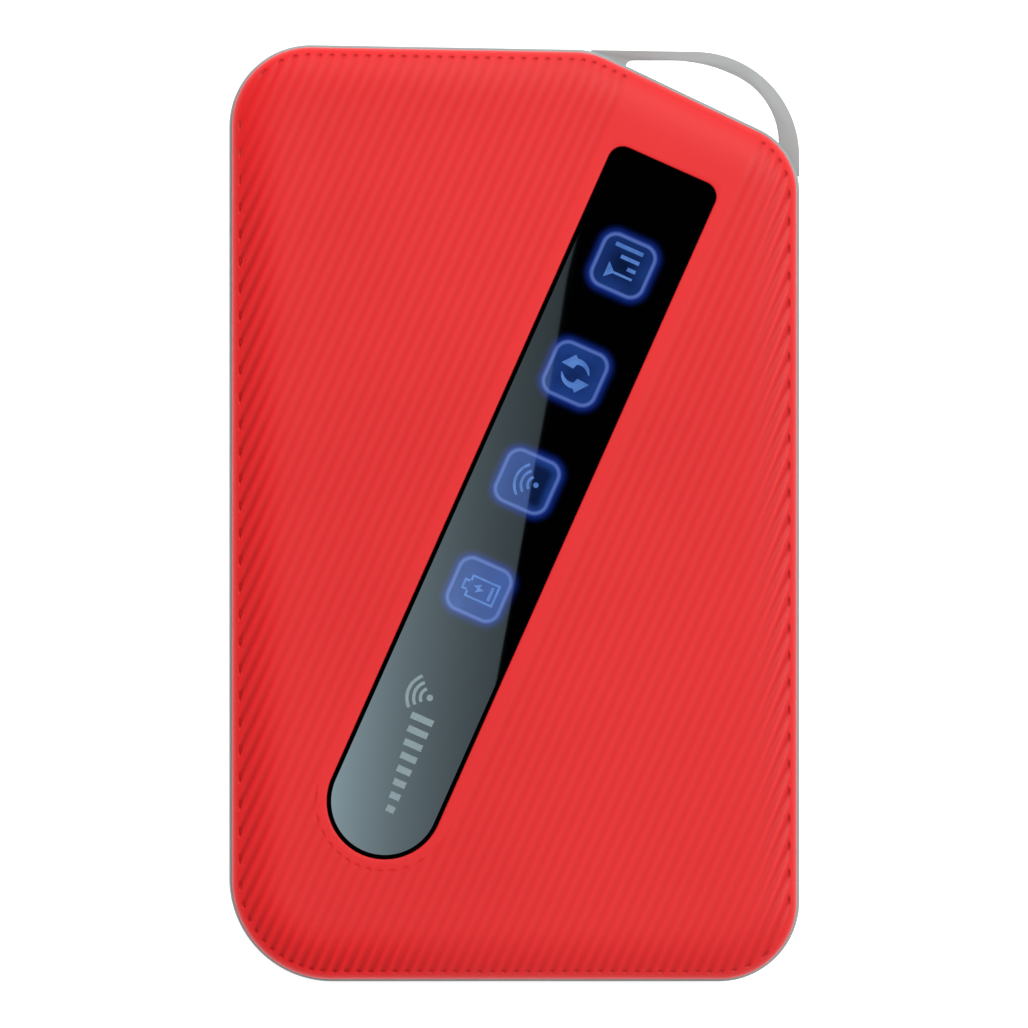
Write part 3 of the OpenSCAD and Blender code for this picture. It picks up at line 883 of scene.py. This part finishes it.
def mark_nest(at, way):
    """Close grid of points over one mark."""
    a, b = np.meshgrid(np.linspace(-1, 1, 9) * mark_size(way), np.linspace(-1, 1, 6) * MARK_W)
    return at + np.multiply.outer(a.ravel(), way) + np.multiply.outer(b.ravel(), np.array([-way[1], way[0]]))


def rib_field():
    """Rows of points along the grooves and the ribs between them, as far out as the grooves go."""
    lines = np.arange(-REACH * SLICES, REACH * SLICES) * RIB_PITCH / SLICES + RIB_AT
    s, t = np.meshgrid(lines, np.arange(-40, 110, ROW_STEP))
    t = t + ROW_STEP / 2 * (np.round((s - RIB_AT) * SLICES / RIB_PITCH) % 2)
    field = on_strip(s.ravel(), t.ravel())
    return field[depth_inside(field, CASE_EDGES, CASE_RADII) > RIB_STOP + 0.2]


def surface_points(marks):
    """Points that carry the relief: rings at the edge, rows along the ribs and nests at the marks."""
    sets = []
    for turn in (7, 14, 21, 28, 35, 41):
        out = math.cos(math.radians(turn)) ** (2 / CROWN_POWER)
        sets.append(cover_ring(PROUD + CROWN_W * (1 - out)))
    for inset in (STOP_BAND[0], RIB_STOP, STOP_BAND[1]):
        sets.append(cover_ring(inset, 0.2))
    turns = np.radians(np.arange(182, 359, 1.3))
    for radius in (END_BAND[0], SMOOTH_END, END_BAND[1]):
        sets.append(on_strip(radius * np.cos(turns), radius * np.sin(turns)))
    sets = np.concatenate([*sets, rib_field()])
    free = np.ones(len(sets), bool)
    for at, way, _strength in marks:
        near = np.flatnonzero(np.abs(sets - at).max(axis=1) < 1.2)
        a, b = in_mark(sets[near], at, way)
        free[near] &= (np.abs(a) > 1.1) | (np.abs(b) > 1.25)
    points = np.concatenate([sets[free], *[mark_nest(at, way) for at, way, _strength in marks]])
    s, t = strip_coordinates(points)
    reach = np.where(t < 0, np.hypot(s, t), np.abs(s))
    clear = (reach > STRIP_W / 2 + 0.25) | (t > STRIP_L + 0.25)
    return points[clear]


def flat_patch(outer, inner, z):
    """Flat face at one height between a closed loop and the loop inside it."""
    flat, faces = fitted(outer, inner)
    return np.column_stack([flat, np.full(len(flat), z)]), faces


def front_cover():
    """Red cover: crowned and grooved front, recess for the lens, and a hollow behind with six screw posts."""
    marks = groove_ends()
    flat, faces = fitted(cover_ring(PROUD), recess_ring(-RECESS_EDGE), surface_points(marks))
    height, amounts = front_relief(flat, marks)
    roof_h, fillet, post_r, hole_r = 0.6, 1.1, 2.0, 0.8
    shelf_z = FILM_LOW[2]
    roof_z = shelf_z - roof_h
    side = [(PROUD, TOP_Z - CROWN_H), (PROUD, SHELL_LOW_Z + 0.1), (PROUD + 0.1, SHELL_LOW_Z)]
    side += [(HOLLOW, SHELL_LOW_Z), (HOLLOW, roof_z - fillet), *rolled(HOLLOW, roof_z, fillet, 5, 0.3)]
    recess = [*rolled(0, TOP_Z, -RECESS_EDGE, 4, way=1)[::-1], (0, shelf_z)]
    window = window_ring(0.1)
    points, faces = joined(
        (np.column_stack([flat, height]), faces),
        open_ended(sweep(cover_ring, side)),
        flat_patch(cover_ring(side[-1][0]), window, roof_z),
        flat_patch(recess_ring(0), window, shelf_z),
        open_ended(sweep(recess_ring, recess)),
        open_ended(prism(window, shelf_z, roof_z)),
        *[tube(at, post_r, hole_r, BOARD_TOP, roof_z + 0.05) for at in SCREWS],
    )
    mesh = new_mesh("ribbed_front_cover", points, faces)
    for name, amount in amounts.items():
        filled = np.zeros(len(points), np.float32)
        filled[:len(amount)] = amount
        mesh.attributes.new(name, "FLOAT", "POINT").data.foreach_set("value", filled)
    return finish_piece("ribbed_front_cover", mesh, math.radians(50), 0.002)


def open_ended(solid):
    """The same points and faces without the two end caps."""
    points, faces = solid
    return points, faces[:-2]


def tube(at, outer, inner, z0, z1, steps=28):
    """Closed round tube."""
    turns = [360 * k / steps for k in range(steps)]
    wide = [np.array(at) + outer * heading(a) for a in turns]
    slim = [np.array(at) + inner * heading(a) for a in turns]
    return loft([level(wide, z0), level(wide, z1), level(slim, z1), level(slim, z0)], closed=True)


# ---- Lens and its lit signs ----


def lens():
    """Black lens: a matt rounded border sits in the recess round a polished face."""
    z0, z1 = LENS_LOW[2], LENS_HIGH[2]
    gap = 0.05
    edge = 0.16
    profile = [(gap + 0.1, z0), (gap, z0 + 0.1), (gap, z1 - edge)]
    profile += [*rolled(gap, z1, edge, 4, 0.3), (RIM_W, z1)]
    piece = add_piece("strip_lens", *sweep(strip_ring, profile))
    border = moulding("lens_border", (0.0003, 0.0003, 0.0003), 0.7, 0.0, 8.0, 0.002, 0)
    place(piece, "case", [lens_glass(), border], ["display_lens"])
    for face in piece.data.polygons:
        top = face.normal.z > 0.99 and len(face.vertices) > 8
        face.material_index = 0 if top else 1


def in_tile(light, shape):
    """Case positions of a shape drawn about one light."""
    shape = np.array(shape, float)
    return on_strip(shape[:, 0], shape[:, 1] + LIGHTS[light])


def stroke(path, width):
    """Outline of a line of even width along a path."""
    path = np.array(path, float)
    run = np.gradient(path, axis=0)
    run /= np.linalg.norm(run, axis=1)[:, None]
    side = np.column_stack([-run[:, 1], run[:, 0]]) * width / 2
    return np.concatenate([path + side, (path - side)[::-1]])


def bar(s0, s1, t0, t1):
    """Four corners of an upright block."""
    return [(s0, t0), (s1, t0), (s1, t1), (s0, t1)]


def signal_sign():
    """Aerial and three rising bars."""
    shapes = [bar(-1.75, 1.55, 1.72, 2.17), bar(-0.66, 1.55, 0.64, 1.07), bar(0.55, 1.55, -0.4, 0.02)]
    shapes += [[(-1.6, -2.0), (-0.62, -1.1), (-1.6, -0.15)], bar(-0.72, 1.5, -1.25, -0.98)]
    return [in_tile(0, shape) for shape in shapes]


def turning_sign():
    """Two arrows that chase each other round a ring, each with a tapering tail."""
    outer = arc((0, 0), 1.7, 104, 14)
    outer = [p * (1 - 0.08 * k / 20) for k, p in enumerate(outer)]
    inner = arc((0, 0), 1.0, 14, 104)
    inner = [p * (1.5 - 0.5 * (k / 20) ** 0.55) for k, p in enumerate(inner)]
    one = np.array([(-0.75, 1.98), *outer, *inner, (-0.45, 0.42), (-1.9, 0.55)])
    return [in_tile(1, one), in_tile(1, -one)]


def radio_sign():
    """A dot and three arcs that spread from it."""
    dot = (1.05, 0.02)
    shapes = [arc(dot, 0.3, 0, 345, 22)]
    shapes += [stroke(arc(dot, r, 130, 230), 0.3) for r in (0.92, 1.66, 2.4)]
    return [in_tile(2, shape) for shape in shapes]


def charge_sign():
    """A battery on its side with a bolt in it and one bar of charge."""
    wall, half, end, neck, tip = 0.24, 1.3, 2.1, 0.62, -1.95
    hollow = half - wall
    shapes = [
        bar(-half, end, hollow, half), bar(-half, end, -half, -hollow), bar(end - wall, end, -hollow, hollow),
        bar(-half, -hollow, neck, hollow), bar(-half, -hollow, -hollow, -neck),
        bar(tip, -half, neck - wall, neck), bar(tip, -half, -neck, wall - neck),
        bar(tip, tip + wall, wall - neck, neck - wall), bar(1.2, 1.55, -0.8, 0.8)]
    shapes.append([(-0.75, 0.16), (0.12, 0.62), (0.0, 0.14), (0.55, 0.06), (-0.35, -0.5), (-0.2, -0.02)])
    return [in_tile(3, shape) for shape in shapes]


def mast_sign():
    """Grey mark near the strip's round end: a row of rising bars, then a dot with three arcs."""
    pitch = 1.5
    shapes = [bar(0.45 - 0.24 * k, 1.4, pitch * k - 0.9, pitch * k - 0.15) for k in range(8)]
    dot = (-0.1, 12.5)
    shapes.append(arc(dot, 0.36, 0, 345, 22))
    shapes += [stroke(arc(dot, r, 132, 228), 0.36) for r in (1.05, 1.8, 2.55)]
    return [on_strip(np.array(shape)[:, 0], np.array(shape)[:, 1]) for shape in shapes]


def signs():
    """The lit signs on the four tiles and the grey mark under them."""
    blue = lit_print("lit_sign", SIGN_BLUE, SIGN_SHADE)
    grey = moulding("grey_print", GREY_PRINT, 0.12, 0.5, 10.0, 0.001, 0)
    for draw in (signal_sign, turning_sign, radio_sign, charge_sign, mast_sign):
        piece = add_piece(draw.__name__, *joined(*[prism(ring, SIGN_LOW, SIGN_HIGH) for ring in draw()]))
        place(piece, "case", grey if draw is mast_sign else blue)


# ---- Frame, loop and rear cover ----


def flat_shape(half, radii, steps, at=(0, 0)):
    """Function that gives a rounded oblong's outline, moved in, from half its width and half its length."""
    edges = [(0, half[0]), (90, half[1]), (180, half[0]), (270, half[1])]
    return lambda inset: outline(edges, radii, inset, steps) + np.array(at)


def side_stadium(l, w):
    """Function that gives the outline of a side button, moved in, as (across, along) points."""
    return flat_shape((w / 2, l / 2), [w / 2 - 0.02] * 4, 16)


def facing_left(points, x, y):
    """Turns a shape built upwards so that its top faces the left side, at a height in the band's middle."""
    return [(x - p[2], y + p[1], BAND_Z + p[0]) for p in points]


def frame_band(finish):
    """Grey frame: a rounded band round the case with a tongue into each cover and a lip under the chassis."""
    z0, z1 = REAR_HIGH_Z, SHELL_LOW_Z
    outer, inner = HOLLOW + 0.1, 2.4
    wall, ledge, ledge_h, root = 1.5, 3.2, 1, 0.8
    r = 0.35
    profile = arc((r, z0 + r), r, 270, 180, 4) + arc((r, z1 - r), r, 180, 90, 4)
    profile += [(outer, z1), (outer, z1 + TONGUE_H - 0.1), (outer + 0.1, z1 + TONGUE_H)]
    profile += [(inner, z1 + TONGUE_H), (inner, z1 - root)]
    profile += [(wall, z1 - root), (wall, PLATE_Z), (ledge, PLATE_Z), (ledge, PLATE_Z - ledge_h)]
    profile += [(wall, PLATE_Z - ledge_h), (wall, z0 + root), (inner, z0 + root), (inner, z0 - TONGUE_H)]
    profile += [(outer + 0.1, z0 - TONGUE_H), (outer, z0 - TONGUE_H + 0.1), (outer, z0)]
    piece = add_piece("frame_band", *sweep(case_ring(30), profile, closed=True))
    tools = []
    for y, l in BUTTONS.values():
        points, faces = slab(side_stadium(l + KEY_GAP, KEY_W + KEY_GAP), -1.2, 2.2, 0.01, 1)
        tools.append((facing_left(points, BAND_LOW[0] + 1.0, y), faces))
        room_l, room_w = l / 2 + 1.3, 1.7
        low = (BAND_LOW[0] + wall, y - room_l, BAND_Z - room_w)
        tools.append(box_mesh(low, (BAND_LOW[0] + 4, y + room_l, BAND_Z + room_w)))
    tools.append(box_mesh((-3.9, -CASE_H / 2 - 1, USB_LOW[2] - 0.15), (3.9, -CASE_H / 2 + 4, USB_HIGH[2])))
    carve(piece, tools)
    place(piece, "case", finish, ["mid_frame"])


def lanyard_loop(finish):
    """Loop that carries the band round where the corner is cut off, with a hole for a cord."""
    ring = outline([RIGHT, TOP, LEFT, BOTTOM], [LOOP_R, CORNER_TL, *CASE_RADII[3:]], 0.0, 60)
    piece = add_piece("cord_loop", *prism(ring, LOOP_LOW[2], LOOP_HIGH[2]))
    past_corner = 1.9
    left = meet(CUT, TOP, CASE_RADII[1])[0] + past_corner
    low = meet(RIGHT, CUT, CASE_RADII[0])[1] + past_corner
    carve(piece, [box_mesh((left, low, -1), (CASE_W, CASE_W, TALL))], "INTERSECT")
    right = CASE_W / 2 - LOOP_BAR_SIDE
    across, up = heading(TOP_FACE)
    top = (TOP_REACH - HOLE_MID * across) / up - LOOP_BAR_TOP
    slanted = float(np.dot([right, top], heading(HOLE_SLANT))) - HOLE_EASE
    hole = [(0, right), (HOLE_SLANT, slanted), (90, top), (180, -HOLE_LEFT)]
    hole.append((270 - CUT_SLOPE, 1 - CUT_REACH))
    carve(piece, [prism(ring, -1, TALL) for ring in (case_ring(48)(0), outline(hole, HOLE_RADII, 0, 40))])
    bevel(piece, 0.32, 4, 30)
    place(piece, "case", finish, ["lanyard_loop"])


def rear_cover(finish):
    """Snap-off rear cover: a shallow tray with rolled edges, four locating tabs and a finger notch."""
    z1 = REAR_HIGH_Z
    r, rim = 2.2, 0.15
    profile = rolled(PROUD, 0, r, 11, way=1)[::-1]
    profile += [(PROUD, z1 - rim), (PROUD + 0.05, z1 - 0.04), (PROUD + rim, z1), (HOLLOW - rim, z1)]
    profile += [(HOLLOW, z1 - rim), *rolled(HOLLOW, COVER_WALL, 1, 6, way=1)]
    piece = add_piece("rear_tray", *sweep(case_ring(26), profile))
    notch_x, notch_r, notch_h = -14, 6, 1.3
    middle = np.array([notch_x, z1 + notch_r - notch_h])
    circle = [middle + notch_r * heading(turn) for turn in range(0, 360, 5)]
    carve(piece, [loft([[(x, y - CASE_H / 2, z) for x, z in circle] for y in (-1, 2.2)])])
    place(piece, "cover", finish, ["rear_cover"])
    points, faces = slab(flat_shape((0.4, 3.5), [0.3] * 4, 4), 1.1, 5.9, 0.25)
    tabs = []
    for y in (-26, 6):
        for x in (3 - CASE_W / 2, CASE_W / 2 - 3):
            tabs.append(([(x + p[0], y + p[1], p[2]) for p in points], faces))
    place(add_piece("rear_tabs", *joined(*tabs)), "cover", finish)


# ---- Buttons, socket and card ----


def side_buttons(finish):
    """Two keys in the left side, each a rounded bar on a hidden flange."""
    for name, (y, l) in BUTTONS.items():
        height, lip = 1.6, 0.8
        flange = box_mesh((-1.6, -l / 2 - lip, -lip), (1.6, l / 2 + lip, 0))
        points, faces = joined(slab(side_stadium(l, KEY_W), 0.0, height, 0.28, 5), flange)
        piece = add_piece(name + "_cap", facing_left(points, BAND_LOW[0] + height, y), faces)
        place(piece, name.replace("button", "key"), finish, [name])


def socket_contacts():
    """Five gold contacts on the socket's tongue."""
    low, high = node_box("usb_tongue")
    pitch, half, rise = 0.65, 0.18, 0.05
    shapes = []
    for k in range(5):
        x = (low[0] + high[0]) / 2 + (k - 2) * pitch
        ring = bar(x - half, x + half, low[1] + 0.3, high[1])
        shapes.append(prism(ring, low[2] - rise, low[2] + rise))
    piece = add_piece("socket_contacts", *joined(*shapes))
    bevel(piece, 0.03, 2)
    place(piece, "case", metal("socket_gold", GOLD, 0.25))


def sim_card(finish):
    """Card with rounded corners, one of them cut off, and a gold contact patch."""
    low, high = node_box("sim_card")
    mid = (low + high) / 2
    w, l = (high - low)[:2] / 2
    cut = 2.2
    corner = (w + l - cut) / math.sqrt(2)
    edges = [(0, w), (45, corner), (90, l), (180, w), (270, l)]

    def card_ring(inset):
        return outline(edges, [0.5, 0.5, 1, 1, 1], inset, 6) + mid[:2]

    piece = add_piece("card_body", *slab(card_ring, low[2], high[2], 0.08, 2))
    place(piece, "sim", finish, ["sim_card"])
    cells = []
    for i in range(3):
        for j in range(2):
            at = (mid[0] + 5 + (i - 1) * 2.6, mid[1] + (j - 0.5) * 4.4)
            ring = flat_shape((1.2, 2.1), [0.4] * 4, 4, at)(0)
            cells.append(prism(ring, high[2] - 0.02, high[2] + 0.01))
    patch = add_piece("card_contacts", *joined(*cells))
    place(patch, "sim", metal("card_gold", GOLD, 0.3))


# ---- Parts kept as packed ----


SLOT_PLASTICS = {
    "icon_film": ((0.18, 0.28, 0.6), 0.3, 0.5, 8.0, 0.002),
    "milky_plastic": ((0.78, 0.80, 0.84), 0.5, 0.5, 3.0, 0.004),
    "white_plastic": ((0.82, 0.82, 0.79), 0.5, 0.4, 4.0, 0.006),
    "led_package": ((0.7, 0.68, 0.5), 0.3, 0.5, 6.0, 0.004),
    "black_plastic": ((0.022, 0.023, 0.025), 0.5, 0.4, 5.0, 0.012, 0.35),
    "coil_grey": ((0.07, 0.072, 0.078), 0.7, 0.3, 9.0, 0.02),
    "red_plunger": ((0.55, 0.04, 0.03), 0.4),
    "battery_can": ((0.52, 0.53, 0.54), 0.38, 0.5, 2.5, 0.01, 0.2),
}
SLOT_METALS = {
    "tinned_can": ((0.70, 0.71, 0.72), 0.34, (1, 6, 1), 3.0),
    "plated_steel": ((0.66, 0.67, 0.68), 0.25, (6, 1, 1), 4.0),
    "switch_metal": ((0.60, 0.61, 0.62), 0.3),
    "copper_foil": ((0.82, 0.42, 0.22), 0.35, (1, 1, 1), 1.5, 0.01),
    "gold_contact": (GOLD, 0.25),
    "screw_steel": ((0.62, 0.63, 0.65), 0.28),
}


def slot_finishes():
    """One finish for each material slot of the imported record."""
    finishes = {name: moulding(name, *look) for name, look in SLOT_PLASTICS.items()}
    finishes.update({name: metal(name, *look) for name, look in SLOT_METALS.items()})
    finishes["black_adhesive"] = soft_foam("black_adhesive", (0.02, 0.02, 0.022))
    finishes["soft_pad"] = soft_foam("soft_pad", (0.34, 0.45, 0.55))
    finishes["circuit_board"] = board_mask()
    finishes["chip_black"] = moulded_chip("chip_black")
    finishes["battery_label"] = battery_wrap()
    return finishes


BARE = (
    "battery_label", "main_antenna", "diversity_antenna", "wifi_antenna", "icon_film", "lens_adhesive",
    "battery_pads")


def dress_packed_nodes():
    """Gives every node still shown its finish and fine rounded edges."""
    finishes = slot_finishes()
    for part in record["subparts"]:
        name = part["node"]
        node = frame["nodes"][name]
        if node.hide_render:
            continue
        node.data.materials.clear()
        node.data.materials.append(finishes[part["material_slot"]])
        weld = node.modifiers.new("weld", "WELD")
        weld.merge_threshold = 0.001 * MM
        if name not in BARE:
            bevel(node, 0.3 if name == "battery_pack" else 0.1, 2, 50, applied=False)


# ---- Stage, lights and camera ----


def plain_stage(f, colour=(0, 0, 0), glow=0.0, light=(1, 1, 1)):
    """Flat finish for things that only serve the view."""
    return f.set(
        Base_Color=colour, Roughness=0.9, Specular_IOR_Level=0.0, Emission_Color=light, Emission_Strength=glow)


def sheet_at(name, ring, z, finish):
    """Flat sheet with a closed outline, in metres."""
    mesh = bpy.data.meshes.new(name)
    mesh.from_pydata([(p[0], p[1], z) for p in ring], [], [tuple(range(len(ring)))])
    sheet = bpy.data.objects.new(name, mesh)
    bpy.context.scene.collection.objects.link(sheet)
    mesh.materials.append(finish)
    return sheet


def oblong(half):
    """Four corners of a sheet, from half its width and half its length."""
    return bar(-half[0], half[0], -half[1], half[1])


def floor():
    """Pale floor under the rear cover. It stays under the cover when that comes off."""
    white = plain_stage(Finish("floor_white"), (FLOOR_WHITE,) * 3, FLOOR_GLOW)
    ground = sheet_at("floor", oblong(FLOOR_HALF), 0.0, white)
    ground.location.z = -FLOOR_DROP
    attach(ground, "cover")


def cards():
    """Three cards that only reflections meet.

    A black one hangs over the camera. The lens's lower left half mirrors the grey one below it, whose light
    fades to the right. A black flag at the left keeps that side's haze low.
    """
    dark = sheet_at("black_card", oblong(DARK_CARD_HALF), DARK_CARD_Z, plain_stage(Finish("card_black")))
    f = Finish("card_grey")
    x, y, _z = f.axes()
    grow = (CARD_Z + CAMERA_Z - 2 * LENS_Z) / (CAMERA_Z - LENS_Z)
    level_at = (x * (CARD_FADE[0] / grow) + y * (CARD_FADE[1] / grow)).maths("EXPONENT") * CARD_LEVEL
    grey = plain_stage(f, glow=1.0, light=f.mix(level_at, (0, 0, 0), CARD_COLOUR))
    ring = [(grow * px * MM, grow * py * MM) for px, py in CARD_RING]
    pale = sheet_at("grey_card", ring, CARD_Z * MM, grey)
    flag = sheet_at("left_flag", oblong(FLAG_HALF), 0.0, plain_stage(Finish("flag_black")))
    flag.location = FLAG_AT
    flag.rotation_euler = (0, FLAG_LEAN, 0)
    flag.visible_camera = False
    for card in (dark, pale, flag):
        card.visible_diffuse = False
        card.visible_shadow = False


def lamp(name, at, size, watts):
    """Rectangular softbox aimed at the case."""
    data = bpy.data.lights.new(name, "AREA")
    data.shape = "RECTANGLE"
    data.size, data.size_y = size
    data.energy = watts
    light = bpy.data.objects.new(name, data)
    light.location = at
    light.rotation_mode = "QUATERNION"
    light.rotation_quaternion = Vector(at).to_track_quat("Z", "Y")
    bpy.context.scene.collection.objects.link(light)


def studio():
    """Even white surroundings, with a low and a high softbox at the top end and one at the right."""
    world = bpy.data.worlds.new("studio")
    world.use_nodes = True
    world.node_tree.nodes["Background"].inputs[0].default_value = (1, 1, 1, 1)
    world.node_tree.nodes["Background"].inputs[1].default_value = WORLD
    bpy.context.scene.world = world
    bpy.context.scene.view_settings.view_transform = "Standard"
    for name, at, size, watts in LAMPS:
        lamp(name, at, size, watts)


def camera():
    """Long lens straight above the middle of the case, with the top end up."""
    data = bpy.data.cameras.new("camera")
    data.lens = 400
    data.sensor_width = 36
    data.clip_end = 20
    seen = bpy.data.objects.new("camera", data)
    seen.location = CAMERA_AT
    bpy.context.scene.collection.objects.link(seen)
    bpy.context.scene.camera = seen

# ---- Everything ----

camera()
studio()
floor()
cards()

place(front_cover(), "case", red_shell(), ["front_cover"])
lens()
signs()
frame_grey = moulding("frame_paint", FRAME_GREY, 0.42, 0.35, 9.0, 0.003, 0.1)
frame_band(frame_grey)
lanyard_loop(frame_grey)
side_buttons(moulding("key_paint", darker(FRAME_GREY, 0.95), 0.4, 0.35, 9.0, 0.003, 0.2))
rear_cover(moulding("rear_paint", darker(FRAME_GREY, 0.96), 0.5, 0.3, 4.5, 0.010, 0.2))
socket_contacts()
sim_card(moulding("card_white", (0.80, 0.79, 0.76), 0.45, 0.4, 6.0, 0.003, 0.0))
dress_packed_nodes()
